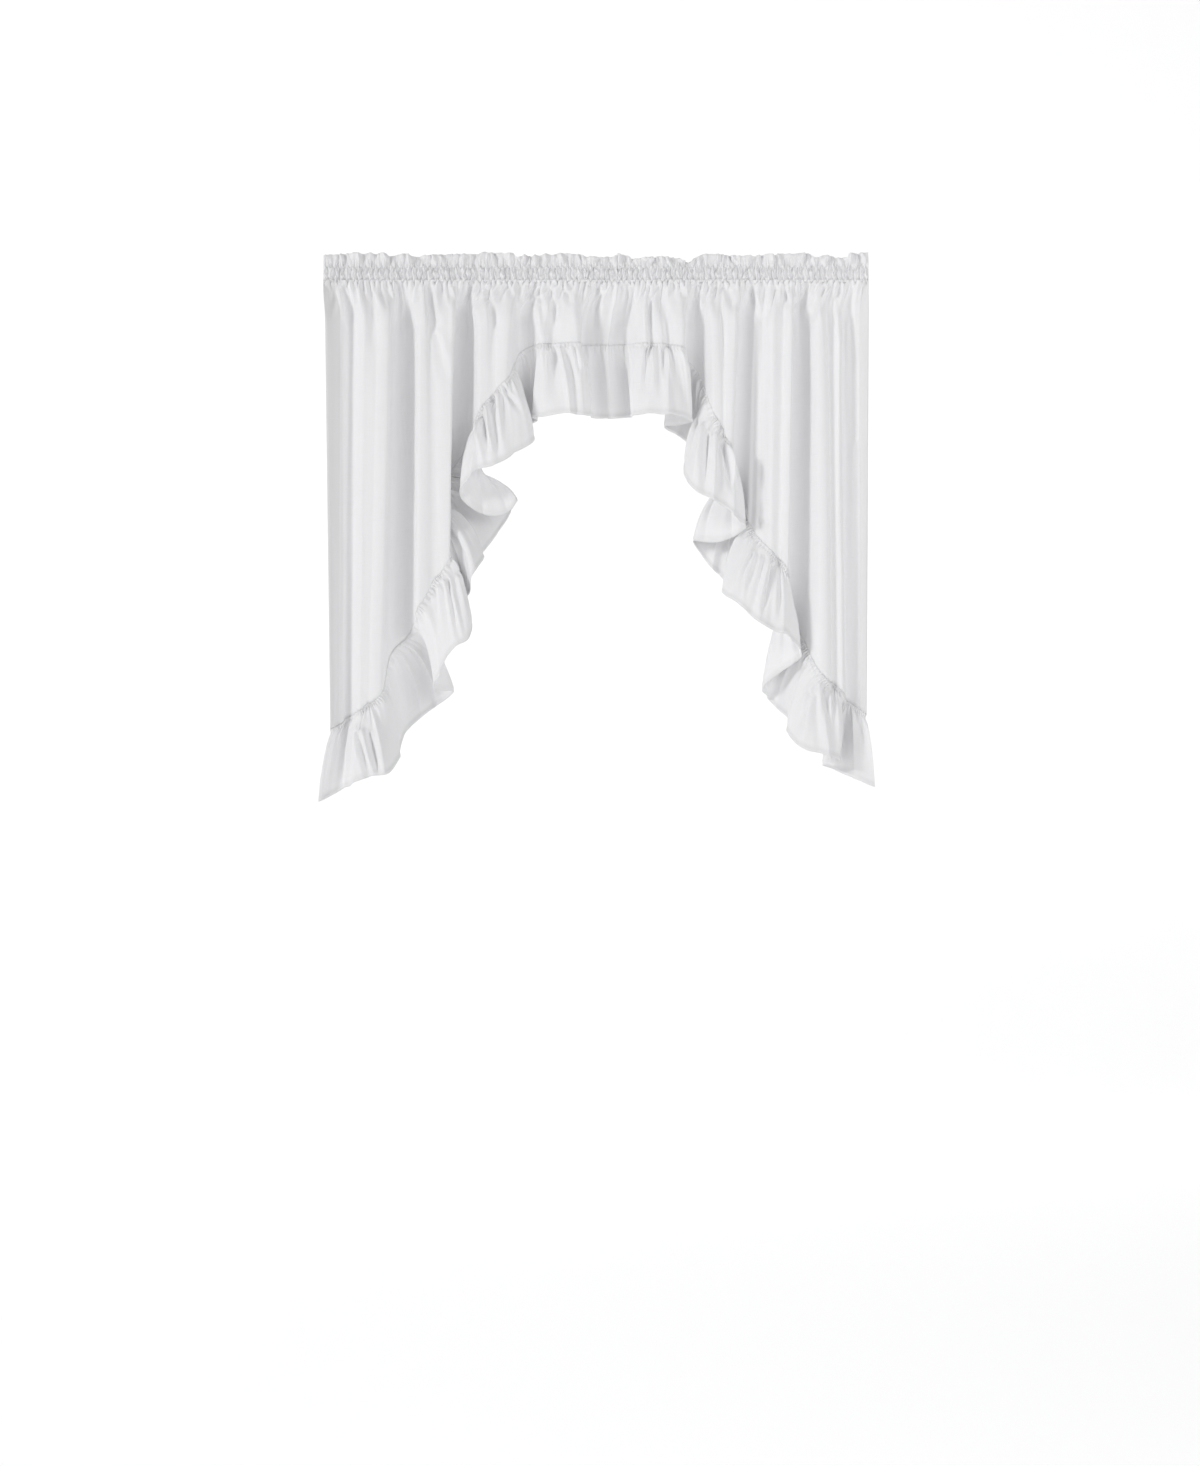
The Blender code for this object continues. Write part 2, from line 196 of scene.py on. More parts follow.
# %% Turns of the panels' folds
Turn = namedtuple("Turn", "rod_x seam_x top low seam")
LEFT_TURNS = (
    Turn(38, 23, 3, 4, 163),
    Turn(-10, -19, 13, 15, 162),
    Turn(-39, -40, -22, -24, 162),
    Turn(-76, -83, -4, -8, 162),
    Turn(-101, -98, -13, -14, 163),
    Turn(-128, -124, 12, 12, 170),
    Turn(-156, -167, -24, -28, 231),
    Turn(-184, -186, -8, -21, 254),
    Turn(-204, -207, -18, -22, 277),
    Turn(-234, -254, 20, 28, 385),
    Turn(-261, -266, -20, -25, 548),
    Turn(-294, -290, -7, -20, 582),
    Turn(-312, -315, -19, -24, 626),
    Turn(-340, -346, 16, 19, 694),
    Turn(-371, -388, -22, -28, 788),
    Turn(-392, -408, -11, -23, 800),
    Turn(-411, -420, -18, -22, 812),
    Turn(-431, -438, 12, 8, 824),
    Turn(-449, -453, 2, 0, 836),
    Turn(-483, -473, -14, -14, 846),
)
RIGHT_TURNS = (
    Turn(38.5, 18, 24, 20, 163),
    Turn(60, 52, 20, 22, 160),
    Turn(83, 83, -14, -18, 162),
    Turn(96, 94, -3, -10, 162),
    Turn(108, 112, -15, -20, 163),
    Turn(121, 126, -5, -12, 164),
    Turn(144, 146, -24, -28, 170),
    Turn(174, 168, 12, 12, 193),
    Turn(204, 206, -23, -26, 293),
    Turn(220, 220, -12, -23, 316),
    Turn(241, 232, -24, -27, 341),
    Turn(268, 252, 15, 19, 404),
    Turn(284, 273, 0, 2, 480),
    Turn(295, 286, 5, -6, 506),
    Turn(310, 305, -19, -24, 530),
    Turn(328, 319, -9, -20, 546),
    Turn(341, 332, -22, -26, 561),
    Turn(360, 346, 14, 19, 650),
    Turn(390, 397, -18, -22, 750),
    Turn(411, 417, -1, -10, 764),
    Turn(426, 433, -12, -14, 778),
    Turn(444, 449, 5, 8, 796),
    Turn(483, 479, -4, -4, 820),
)

# %% [markdown]
# The ruffle's hem swings much wider than its gathered edge. Each row is one turn of the hem:
# where it is along the panel's turns, and where it passes in plan.

# %% Turns of the ruffles' hems
HemTurn = namedtuple("HemTurn", "at hem_x depth")
LEFT_HEM = (
    HemTurn(0.0, 27, 4),
    HemTurn(1.0, -6, 22),
    HemTurn(1.6, -10, -14),
    HemTurn(2.6, -44, -32),
    HemTurn(4.2, -98, -18),
    HemTurn(4.6, -112, 2),
    HemTurn(5.0, -106, 16),
    HemTurn(5.4, -142, 24),
    HemTurn(5.65, -108, -14),
    HemTurn(6.0, -144, -36),
    HemTurn(7.0, -180, -41),
    HemTurn(8.0, -222, -34),
    HemTurn(8.4, -238, -14),
    HemTurn(8.7, -190, 0),
    HemTurn(9.0, -135, 8),
    HemTurn(9.15, -174, 42),
    HemTurn(9.27, -204, 22),
    HemTurn(9.37, -199, -12),
    HemTurn(9.5, -218, -36),
    HemTurn(9.65, -231, -2),
    HemTurn(9.8, -245, -14),
    HemTurn(9.95, -222, -28),
    HemTurn(10.3, -224, -42),
    HemTurn(10.7, -238, -44),
    HemTurn(11.3, -262, -38),
    HemTurn(12.0, -277, -24),
    HemTurn(12.4, -286, 2),
    HemTurn(12.75, -254, 16),
    HemTurn(13.0, -294, 38),
    HemTurn(13.4, -342, 38),
    HemTurn(13.8, -350, -8),
    HemTurn(14.3, -369, -38),
    HemTurn(15.0, -398, -40),
    HemTurn(16.0, -427, -32),
    HemTurn(17.0, -450, -6),
    HemTurn(18.0, -470, -10),
    HemTurn(19.0, -491, -20),
)
RIGHT_HEM = (
    HemTurn(0.0, 21, 18),
    HemTurn(0.9, 60, 28),
    HemTurn(1.4, 64, -6),
    HemTurn(2.0, 74, -28),
    HemTurn(3.5, 106, -40),
    HemTurn(5.0, 136, -40),
    HemTurn(6.2, 168, -22),
    HemTurn(6.5, 150, 4),
    HemTurn(6.8, 122, 12),
    HemTurn(7.1, 153, 24),
    HemTurn(7.4, 180, 12),
    HemTurn(7.65, 153, -12),
    HemTurn(8.2, 174, -37),
    HemTurn(9.0, 206, -43),
    HemTurn(10.0, 242, -36),
    HemTurn(10.4, 263, -12),
    HemTurn(10.7, 230, -2),
    HemTurn(11.0, 174, 14),
    HemTurn(11.4, 195, 36),
    HemTurn(11.8, 238, 22),
    HemTurn(12.1, 225, -14),
    HemTurn(13.0, 252, -37),
    HemTurn(14.0, 284, -43),
    HemTurn(15.0, 316, -41),
    HemTurn(16.0, 345, -30),
    HemTurn(16.4, 364, -10),
    HemTurn(16.7, 324, 8),
    HemTurn(17.0, 298, 20),
    HemTurn(17.3, 312, 42),
    HemTurn(17.55, 346, 24),
    HemTurn(17.75, 339, -10),
    HemTurn(18.2, 366, -37),
    HemTurn(19.0, 398, -40),
    HemTurn(19.6, 430, -30),
    HemTurn(20.3, 424, 2),
    HemTurn(20.6, 404, 24),
    HemTurn(20.9, 430, 34),
    HemTurn(21.2, 452, 6),
    HemTurn(21.6, 472, -8),
    HemTurn(22.0, 494, -4),
)

# %% [markdown]
# The frill above the pocket is uneven: it dips and rises by up to 17 mm along its top edge. Noise
# could do that, but the deepest dips are seen clearly, so they get rows of their own.

# %% Crests of the frill
Crest = namedtuple("Crest", "x below")
LEFT_CRESTS = (
    Crest(-484, 4),
    Crest(-430, 1),
    Crest(-380, 1),
    Crest(-360, 5),
    Crest(-338, 1),
    Crest(-320, 7),
    Crest(-290, 3),
    Crest(-230, 2),
    Crest(-190, 0),
    Crest(-152, 1),
    Crest(-138, 6),
    Crest(-105, 4),
    Crest(-45, 1),
    Crest(-12, 7),
    Crest(25, 7),
    Crest(39, 4),
)
RIGHT_CRESTS = (
    Crest(39, 3),
    Crest(52, 4),
    Crest(67, 11),
    Crest(85, 8),
    Crest(122, 7),
    Crest(150, 10),
    Crest(165, 17),
    Crest(178, 9),
    Crest(190, 2),
    Crest(212, 2),
    Crest(262, 6),
    Crest(300, 3),
    Crest(376, 1),
    Crest(388, 7),
    Crest(415, 5),
    Crest(442, 10),
    Crest(450, 1),
    Crest(484, 0),
)

# %% [markdown]
# ## From tables to cloth
#
# Cubic curves join the turns. Their end slopes decide how far a fold laps over its neighbour:
# a deep fold bulges sideways at its crest and valley, as gathered cotton does.

# %% Curves between turns


def smooth(share):
    held = min(max(share, 0.0), 1.0)
    return held * held * (3 - 2 * held)


def mix(a, b, share):
    return a + (b - a) * share


def hermite(a, b, slope_a, slope_b, t):
    ease = t * t * (3 - 2 * t)
    return mix(a, b, ease) + slope_a * t * (1 - t) ** 2 - slope_b * t * t * (1 - t)


def slope_at(values, index):
    before = max(index - 1, 0)
    after = min(index + 1, len(values) - 1)
    return (values[after] - values[before]) / (after - before)


def through(values, place):
    index = min(max(int(place), 0), len(values) - 2)
    ends = slope_at(values, index), slope_at(values, index + 1)
    return hermite(values[index], values[index + 1], *ends, place - index)


def number_along(marks, mark):
    """Where a mark lies among rising marks, as a number such as 2.5."""
    index = min(max(bisect.bisect_right(marks, mark) - 1, 0), len(marks) - 2)
    return index + (mark - marks[index]) / (marks[index + 1] - marks[index])


print("half way through 1, 3, 4:", through([1, 3, 4], 1.0))

# %% One swag's cloth
STEPS_PER_TURN = 20
MEASURED_BELOW = 110
TILT_REACH = 14


class Swag:
    """The shape of one swag's cloth. outward is -1 on the left and 1 on the right."""

    def __init__(self, side, outward, turns, hem, crests):
        self.side = side
        self.outward = outward
        self.turns = turns
        self.hem = hem
        self.crests = sorted(crests)
        self.seed = 10.0 * outward
        self.seams = [turn.seam for turn in turns]
        self.lengths = self.walk(
            len(turns) - 1, lambda place: self.fold_line(place, 1, MEASURED_BELOW)
        )
        self.flat_width = self.lengths[-1]
        self.hem_lengths = self.walk(len(hem) - 1, self.hem_line)

    def walk(self, turns, line):
        """The lengths walked along a line, at each small step of a turn."""
        points = [line(step / STEPS_PER_TURN) for step in range(STEPS_PER_TURN * turns + 1)]
        walked = [0.0]
        for before, here in zip(points, points[1:]):
            walked.append(walked[-1] + math.dist(before, here))
        return walked

    def fold_line(self, place, formed, below):
        """(x, depth) of the cloth, seen from above, at a drop below the pocket.

        Each crest leans a little to the right, and each valley to the left.
        """
        index = min(int(place), len(self.turns) - 2)
        near = range(max(index - 1, 0), min(index + 3, len(self.turns)))
        across, depths = {}, {}
        for i in near:
            turn = self.turns[i]
            length = turn.seam - PANEL_TOP
            settled = min(below / min(length, FOLDS_SETTLE_BY), 1.0)
            across[i] = mix(turn.rod_x, turn.seam_x, min(below / length, 1.0))
            depths[i] = mix(turn.top, turn.low, settled)
        slopes = []
        for i in (index, index + 1):
            before, after = max(i - 1, near[0]), min(i + 1, near[-1])
            plain = (across[after] - across[before]) / (after - before)
            height = abs(depths[after] - depths[i]) + abs(depths[i] - depths[before])
            slopes.append(plain + self.outward * FOLD_OVERLAP * height**2 * formed)
        t = place - index
        depth = mix(depths[index], depths[index + 1], smooth(t)) * formed
        x = hermite(across[index], across[index + 1], *slopes, t) - FOLD_LEAN * depth
        return x, depth

    def place_at(self, flat):
        return number_along(self.lengths, min(flat, self.flat_width)) / STEPS_PER_TURN

    def rod_x(self, flat):
        return mix(self.turns[0].rod_x, self.turns[-1].rod_x, flat / self.flat_width)

    def cloth_point(self, flat, drop):
        """A point of the panel's cloth, at a distance across it and a drop below the top edge."""
        below = drop - PANEL_TOP
        formed = smooth((below + 10) / FOLDS_FORM_BY)
        x, depth = self.fold_line(self.place_at(flat), formed, below)
        x = mix(self.rod_x(flat), x, smooth(below / FOLDS_PART_BY))
        depth -= FOOT_FORWARD * (1 - smooth(below / FOLDS_FORM_BY))
        return Vector((x, depth, -drop))

    def seam_tilt(self, flat):
        """The sine and cosine of the ruffle seam's angle on the flat cloth."""
        before, after = max(flat - TILT_REACH, 0.0), min(flat + TILT_REACH, self.flat_width)
        low = through(self.seams, self.place_at(after))
        high = through(self.seams, self.place_at(before))
        slope = (low - high) / (after - before)
        return slope / math.hypot(1, slope), 1 / math.hypot(1, slope)

    def seam_point(self, flat, apart):
        """A point set apart from the ruffle seam, square to it along the cloth."""
        sine, cosine = self.seam_tilt(flat)
        aside = min(max(flat - apart * sine, 0.0), self.flat_width)
        return aside, through(self.seams, self.place_at(flat)) + apart * cosine

    def hem_line(self, number):
        """(x, depth) of the ruffle's hem at a number along its own turns."""
        x = through([turn.hem_x for turn in self.hem], number)
        return x, through([turn.depth for turn in self.hem], number)


LEFT = Swag("left", -1, LEFT_TURNS, LEFT_HEM, LEFT_CRESTS)
RIGHT = Swag("right", 1, RIGHT_TURNS, RIGHT_HEM, RIGHT_CRESTS)
for swag in (LEFT, RIGHT):
    print(swag.side, "panel", round(swag.flat_width), "mm wide flat, ruffle",
          round(swag.hem_lengths[-1]), "mm long")

# %% [markdown]
# ## Gathers
#
# Shirring packs the cloth of the pocket in small uneven pleats. A plain wave would look machine
# made, so each pleat's place and depth wander with noise. Inside the pocket the pleats zigzag
# between the two rows of stitching. Below it they die out one after another, and leave the
# larger folds.

# %% Pleats of the shirring
GATHER_PITCH = 9.8
GATHER_DEPTH = 2.9
GATHER_LIMIT = 1.4
GATHER_ROUNDNESS = 0.7


def uneven(a, b=0.0, c=0.0):
    """Smooth noise from about -1 to 1."""
    return noise.noise(Vector((a, b, c))) * 1.6


def shirring(swag, flat, drop):
    """The pleats' height at a place on the heading or just below it, about 1 either way."""
    in_pocket = smooth((drop - FRILL_HEIGHT + 4) / 6) * (1 - smooth((drop - PANEL_TOP) / 8))
    wander = 1.3 * uneven(flat / 26, drop / 60, swag.seed)
    wander += (0.4 + 0.6 * in_pocket) * uneven(flat / 10, drop / 13, swag.seed + 3)
    wander += 0.8 * in_pocket * math.sin(drop / 2.6 + 6 * uneven(flat / 21, 0, swag.seed))
    turn = 2 * math.pi * swag.rod_x(flat) / GATHER_PITCH + wander
    height = 0.85 + 0.35 * in_pocket + 0.45 * uneven(flat / 12, drop / 24, swag.seed + 5)
    wave = 2 * abs(math.sin(turn / 2)) ** GATHER_ROUNDNESS - 1
    return min(height, GATHER_LIMIT) * wave


for swag in (LEFT, RIGHT):
    rod_length = abs(swag.rod_x(swag.flat_width) - swag.rod_x(0))
    print(swag.side, "gathers in the pocket:", round(rod_length / GATHER_PITCH))

# %% [markdown]
# The long creases of the panels were placed one by one. Each row is one straight trough in the
# front view: where it starts and ends, how wide it is, and how deep. A negative depth is a ridge.
# Most of them start at the pocket, as pointed pleats that open downwards.

# %% Creases of the panels
Crease = namedtuple("Crease", "x drop low_x low wide deep")
LEFT_CREASES = (
    Crease(-456, 57, -474, 119, 15, 3.5),
    Crease(-397, 57, -392, 176, 11, 3.0),
    Crease(-384, 59, -365, 106, 6, 2.2),
    Crease(-345, 92, -343, 172, 5, -1.6),
    Crease(-343, 252, -321, 518, 5, -1.0),
    Crease(-331, 59, -333, 137, 8, 2.5),
    Crease(-319, 57, -322, 137, 6, -2.0),
    Crease(-299, 60, -281, 154, 11, 3.5),
    Crease(-281, 150, -265, 234, 10, 2.5),
    Crease(-253, 66, -252, 163, 6, -1.8),
    Crease(-223, 61, -233, 172, 9, 3.0),
    Crease(-192, 66, -178, 137, 8, 3.0),
    Crease(-155, 61, -148, 84, 6, 2.5),
    Crease(-121, 59, -116, 95, 7, 2.5),
    Crease(-102, 66, -88, 150, 7, 3.0),
    Crease(-79, 66, -72, 157, 7, 2.5),
    Crease(-55, 66, -44, 97, 6, 2.5),
    Crease(-15, 64, -26, 132, 6, -2.0),
    Crease(5, 66, -6, 141, 8, 3.0),
    Crease(31, 61, 20, 132, 10, 3.0),
)
RIGHT_CREASES = (
    Crease(48, 57, 30, 150, 12, 3.5),
    Crease(94, 59, 93, 157, 6, 2.5),
    Crease(107, 59, 103, 157, 5, -1.5),
    Crease(114, 64, 121, 150, 12, 3.5),
    Crease(149, 61, 154, 84, 6, 2.5),
    Crease(182, 62, 187, 101, 6, -2.0),
    Crease(211, 61, 210, 119, 6, 1.8),
    Crease(229, 62, 247, 105, 8, 3.0),
    Crease(275, 64, 287, 131, 8, 4.0),
    Crease(318, 66, 292, 132, 9, 3.5),
    Crease(329, 62, 341, 99, 7, 3.0),
    Crease(354, 62, 358, 208, 5, -1.5),
    Crease(361, 58, 364, 119, 5, 2.2),
    Crease(388, 59, 380, 120, 7, 3.5),
    Crease(404, 64, 382, 122, 8, 4.0),
    Crease(422, 66, 435, 208, 6, -1.5),
    Crease(435, 163, 435, 545, 4, 1.2),
    Crease(446, 119, 448, 340, 6, -1.2),
    Crease(464, 340, 462, 780, 9, 1.8),
    Crease(290, 476, 318, 484, 7, 2.0),
)
print("creases placed by hand:", len(LEFT_CREASES) + len(RIGHT_CREASES))

# %% Height of a crease
CREASE_DEPTH = 1.5
SHOULDER = 0.4


def crease_height(crease, x, drop):
    """How far one crease moves the cloth at a place in the front view, in millimetres.

    It widens on its way down and dies out at its low end, and has a soft shoulder either side.
    """
    run = Vector((crease.low_x - crease.x, crease.low - crease.drop))
    here = Vector((x - crease.x, drop - crease.drop))
    share = min(max(here.dot(run) / run.dot(run), 0.0), 1.0)
    apart = (here - run * share).length
    wide = crease.wide * (0.55 + 0.45 * share)
    if apart > 4 * wide:
        return 0.0
    trough = math.exp(-((apart / wide) ** 2))
    shoulder = SHOULDER * math.exp(-(((apart - 1.7 * wide) / wide) ** 2))
    return -CREASE_DEPTH * crease.deep * (trough - shoulder) * (1 - share**3)


print("a trough 2 deep, where it starts:", crease_height(Crease(0, 0, 0, 10, 5, 2), 0, 0), "mm")

# %% [markdown]
# ## Cotton
#
# The cloth is a plain white cotton blend. Three things keep it from looking like paper: a fine
# weave, threads that are now and then thicker, and a greyer white painted where the cloth lies in
# two or three layers at hems and along the ruffles' seams. That grey is painted shade, for the
# light that shines through one layer of cotton but less through more, and for the denser shadow
# at the seams. The weave follows the cloth's own UV map, which holds real lengths, so it stays
# square to the folds. Blender's wave texture repeats every 0.314 units at a scale of 1, which
# gives the scale for a thread's pitch. The painted shade's share comes from an attribute of each
# point.

# %% Material
WEAVE_PITCH = 0.0007
WAVE_REPEAT = 0.314
WEAVE_RELIEF = 0.00015
COTTON_COLOUR = (0.92, 0.918, 0.926, 1)
SLUB_COLOUR = (0.88, 0.878, 0.888, 1)
# painted shade: the greyer white where the cloth lies in two or three layers
DOUBLED_SHADE_COLOUR = (0.80, 0.796, 0.80, 1)


def linked(tree, kind, inputs=(), **settings):
    """A new node with its settings, and its inputs set to a value or linked from a socket."""
    node = tree.nodes.new(kind)
    for name, value in settings.items():
        setattr(node, name, value)
    for name, value in dict(inputs).items():
        if isinstance(value, bpy.types.NodeSocket):
            tree.links.new(value, node.inputs[name])
        else:
            node.inputs[name].default_value = value
    return node


def threads(tree, place, stretch, scale, detail):
    """Noise drawn out along one direction of the cloth, as single thicker threads are."""
    turned = linked(tree, "ShaderNodeMapping", {"Vector": place, "Scale": stretch})
    inputs = {"Vector": turned.outputs["Vector"], "Scale": scale, "Detail": detail}
    return linked(tree, "ShaderNodeTexNoise", inputs).outputs["Fac"]


def cotton_colour(tree, place, warp, weft):
    """White, a little greyer where threads run thick, with painted shade where the cloth lies in
    layers.
    """
    cloudy = linked(tree, "ShaderNodeTexNoise", {"Vector": place, "Scale": 35.0, "Detail": 3.0})
    slubs = linked(tree, "ShaderNodeMath", {0: warp, 1: weft}, operation="MULTIPLY")
    slub_share = linked(
        tree, "ShaderNodeMapRange",
        {"Value": slubs.outputs[0], "From Min": 0.2, "From Max": 0.36},
    )
    patchy = linked(
        tree, "ShaderNodeMath",
        {0: slub_share.outputs[0], 1: cloudy.outputs["Fac"]}, operation="MULTIPLY",
    )
    woven = linked(
        tree, "ShaderNodeMix",
        {0: patchy.outputs[0], 6: COTTON_COLOUR, 7: SLUB_COLOUR}, data_type="RGBA",
    )
    # painted shade: a greyer white where the cloth lies in layers
    doubled_shade = linked(tree, "ShaderNodeAttribute", attribute_name="doubled_shade")
    cloth = linked(
        tree, "ShaderNodeMix",
        {0: doubled_shade.outputs["Fac"], 6: woven.outputs[2], 7: DOUBLED_SHADE_COLOUR}, data_type="RGBA",
    )
    return cloth.outputs[2]


def weave_bump(tree, place, warp):
    """The relief of threads that cross over and under."""
    over, under = (
        linked(
            tree, "ShaderNodeTexWave",
            {"Vector": place, "Scale": WAVE_REPEAT / WEAVE_PITCH, "Distortion": 0.4},
            bands_direction=direction,
        ).outputs["Fac"]
        for direction in ("X", "Y")
    )
    weave = linked(tree, "ShaderNodeMath", {0: over, 1: under}, operation="MULTIPLY")
    grain = linked(tree, "ShaderNodeMath", {0: weave.outputs[0], 1: warp}, operation="ADD")
    return linked(
        tree, "ShaderNodeBump",
        {"Strength": 0.35, "Distance": WEAVE_RELIEF, "Height": grain.outputs[0]},
    ).outputs["Normal"]


def cotton_finish():
    material = plain_finish("white_cotton_weave", COTTON_COLOUR[:3], 0.82)
    tree = material.node_tree
    shader = tree.nodes["Principled BSDF"]
    place = linked(tree, "ShaderNodeUVMap", uv_map="flat_cloth").outputs["UV"]
    warp = threads(tree, place, (1.0, 0.03, 1.0), 900.0, 2.0)
    weft = threads(tree, place, (0.03, 1.0, 1.0), 900.0, 2.0)
    tree.links.new(cotton_colour(tree, place, warp, weft), shader.inputs["Base Color"])
    tree.links.new(weave_bump(tree, place, warp), shader.inputs["Normal"])
    shader.inputs["Sheen Weight"].default_value = 0.12
    shader.inputs["Sheen Roughness"].default_value = 0.5
    shader.inputs["Specular IOR Level"].default_value = 0.25
    return material


cotton = cotton_finish()
print("nodes in the cotton:", len(cotton.node_tree.nodes))

# %% [markdown]
# ## A sheet of cloth
#
# Each sheet starts as a flat grid, which already has the rows and columns of woven cloth. Its
# points are moved onto the folds, and then a little along their own normals for the gathers and
# creases, so that detail also shows on the sides of deep folds. Sculpting could do the same, but
# numbers are easier to change and to place. Solidify gives the finished sheet its thickness. The
# UV map keeps each point's place on the flat cloth, in metres, for the weave.

# %% Grid helpers
CLOTH_THICKNESS = 0.6


def grid_of_cloth(rows, flats, facing):
    """A bmesh grid through rows of points, with its place on the flat cloth as its UV map."""
    sheet = bmesh.new()
    # the share of painted shade at each point, where the cloth lies in layers
    sheet.verts.layers.float.new("doubled_shade")
    size = {"x_segments": len(rows[0]) - 1, "y_segments": len(rows) - 1, "size": 1}
    verts = bmesh.ops.create_grid(sheet, **size)["verts"]
    places = [place for row in flats for place in row]
    for vert, point in zip(verts, (point for row in rows for point in row)):
        vert.co = point * MM
    uv = sheet.loops.layers.uv.new("flat_cloth")
    for face in sheet.faces:
        for loop in face.loops:
            across, along = places[loop.vert.index]
            loop[uv].uv = (across * MM, along * MM)
    if facing < 0:
        bmesh.ops.reverse_faces(sheet, faces=sheet.faces)
    sheet.normal_update()
    return sheet, verts, places


def ruck(verts, places, height):
    """Moves each point along its normal, by a height worked out from its place and its point."""
    moves = [
        vert.normal * height(*place, vert.co / MM) * MM for vert, place in zip(verts, places)
    ]
    for vert, move in zip(verts, moves):
        vert.co += move


def mark_doubled_shade(sheet, verts, places, share):
    """Keeps the share of painted shade at each point where the cloth lies in layers, from 0 to 1.
    """
    layer = sheet.verts.layers.float["doubled_shade"]
    for vert, place in zip(verts, places):
        vert[layer] = share(*place)


def finish_cloth(name, sheet, node):
    mesh = bpy.data.meshes.new(name)
    sheet.to_mesh(mesh)
    sheet.free()
    mesh.shade_smooth()
    mesh.materials.append(cotton)
    piece = bpy.data.objects.new(name, mesh)
    bpy.context.scene.collection.objects.link(piece)
    solidify = piece.modifiers.new("thickness", "SOLIDIFY")
    solidify.thickness = CLOTH_THICKNESS * MM
    solidify.offset = 0.0
    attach(piece, "root")
    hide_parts(node)
    forward = sum(1 for face in mesh.polygons if face.normal.y < 0)
    print(name, len(mesh.polygons), "faces,", forward, "of them facing forward")
    return piece


# %% [markdown]
# ## The panels
#
# A panel's columns run down the cloth from the pocket to the slanting seam. Rows are closer near
# the pocket, where the pleats are short, and the top row is tucked under the pocket. The outer
# edge has a turned side hem, which shows as a fine groove and a slight step. A real hem is three
# layers of cloth, but only its step can be seen, so the sheet is pressed into that shape. The hem
# is painted a greyer white, as painted shade for the light that shines less through three layers.

# %% Panels
PANEL_COLUMNS = 400
PANEL_ROWS = 96
SIDE_HEMS = {"left": 28.0, "right": 16.0}
TUCKED_UNDER = 3.5
DEEP_TURN = 9.0
VALLEY_LENGTH = 75.0
WIDE_WEDGES = 23
NARROW_WEDGES = 41


def crisp_ridge(turn):
    """A wave from -1 to 1 with narrow crests and round troughs."""
    return 1 - 2 * abs(math.sin(turn / 2)) ** 1.15


def valley_creases(swag):
    """A pointed pleat from the pocket into each deep valley."""
    creases = []
    for index, turn in enumerate(swag.turns):
        if turn.top > DEEP_TURN:
            flat = swag.lengths[STEPS_PER_TURN * index]
            low = swag.cloth_point(flat, PANEL_TOP + VALLEY_LENGTH)
            creases.append(Crease(swag.rod_x(flat), PANEL_TOP, low.x, -low.z, 13, 4.5))
    return creases


LEFT.creases = LEFT_CREASES + tuple(valley_creases(LEFT))
RIGHT.creases = RIGHT_CREASES + tuple(valley_creases(RIGHT))
print("creases, with the valleys:", len(LEFT.creases) + len(RIGHT.creases))


def pleats_below(swag, flat, drop):
    """The short pleats just below the pocket."""
    below = drop - PANEL_TOP
    fade = 22 + 24 * uneven(flat / 17, 0, swag.seed + 1) + 16 * uneven(flat / 8, 1, swag.seed)
    return GATHER_DEPTH * shirring(swag, flat, drop) * (1 - smooth(below / max(fade, 11)))


def wedges(swag, flat, below):
    """The pointed pleats between the short ones and the main folds, in two sizes."""
    width = 2 * math.pi / swag.flat_width
    turn = WIDE_WEDGES * width * flat + 3.2 * uneven(flat / 60, below / 240, swag.seed + 17)
    reach = 110 + 80 * uneven(flat / 33, 0, swag.seed + 16)
    height = 2.8 * crisp_ridge(turn) * (1 - smooth(below / reach))
    turn = NARROW_WEDGES * width * flat + 3.0 * uneven(flat / 40, below / 160, swag.seed + 18)
    reach = 55 + 35 * uneven(flat / 22, 0, swag.seed + 19)
    height += 2.0 * crisp_ridge(turn) * (1 - smooth(below / reach))
    return height * smooth((below + 4) / 16)


def side_hem(swag, flat):
    """The step and the stitched groove of the side hem."""
    inside = swag.flat_width - flat - SIDE_HEMS[swag.side]
    step = 0.35 * (1 - smooth((inside + 1) / 2))
    return step - 0.7 * math.exp(-((inside / 1.6) ** 2))


def panel_height(swag, flat, drop, point):
    """How far the panel's cloth stands out from its main folds, in millimetres."""
    below = drop - PANEL_TOP
    seam = through(swag.seams, swag.place_at(flat))
    creases = sum(crease_height(crease, point.x, drop) for crease in swag.creases)
    soft = 0.9 * uneven(flat / 44, drop / 500, swag.seed + 2)
    wrinkles = 0.35 * uneven(flat / 12, drop / 110, swag.seed + 4)
    puckers = 0.4 * math.sin(2 * math.pi * flat / 9 + 1.5 * uneven(flat / 15, 0, 5))
    puckers *= 1 - smooth((seam - drop) / 16)
    ease = smooth(below / 60)
    height = pleats_below(swag, flat, drop) + creases * smooth((below + 4) / 12)
    height += wedges(swag, flat, below)
    return height + (soft + wrinkles) * ease + puckers + side_hem(swag, flat)


def swag_panel(swag):
    rows, flats = [], []
    columns = [swag.flat_width * column / PANEL_COLUMNS for column in range(PANEL_COLUMNS + 1)]
    seams = [swag.seam_point(flat, 0.0) for flat in columns]
    for step in range(PANEL_ROWS + 1):
        share = (step / PANEL_ROWS) ** 1.35
        drops = [mix(PANEL_TOP - TUCKED_UNDER, low, share) for aside, low in seams]
        rows.append([swag.cloth_point(flat, drop) for flat, drop in zip(columns, drops)])
        flats.append(list(zip(columns, drops)))
    sheet, verts, places = grid_of_cloth(rows, flats, -swag.outward)
    ruck(verts, places, lambda flat, drop, point: panel_height(swag, flat, drop, point))
    hem_from = swag.flat_width - SIDE_HEMS[swag.side]
    # painted shade on the side hem's layers
    mark_doubled_shade(sheet, verts, places, lambda flat, drop: 0.8 * (flat > hem_from))
    piece = finish_cloth(f"{swag.side}_panel_cloth", sheet, f"{swag.side}_panel")


for swag in (LEFT, RIGHT):
    swag_panel(swag)
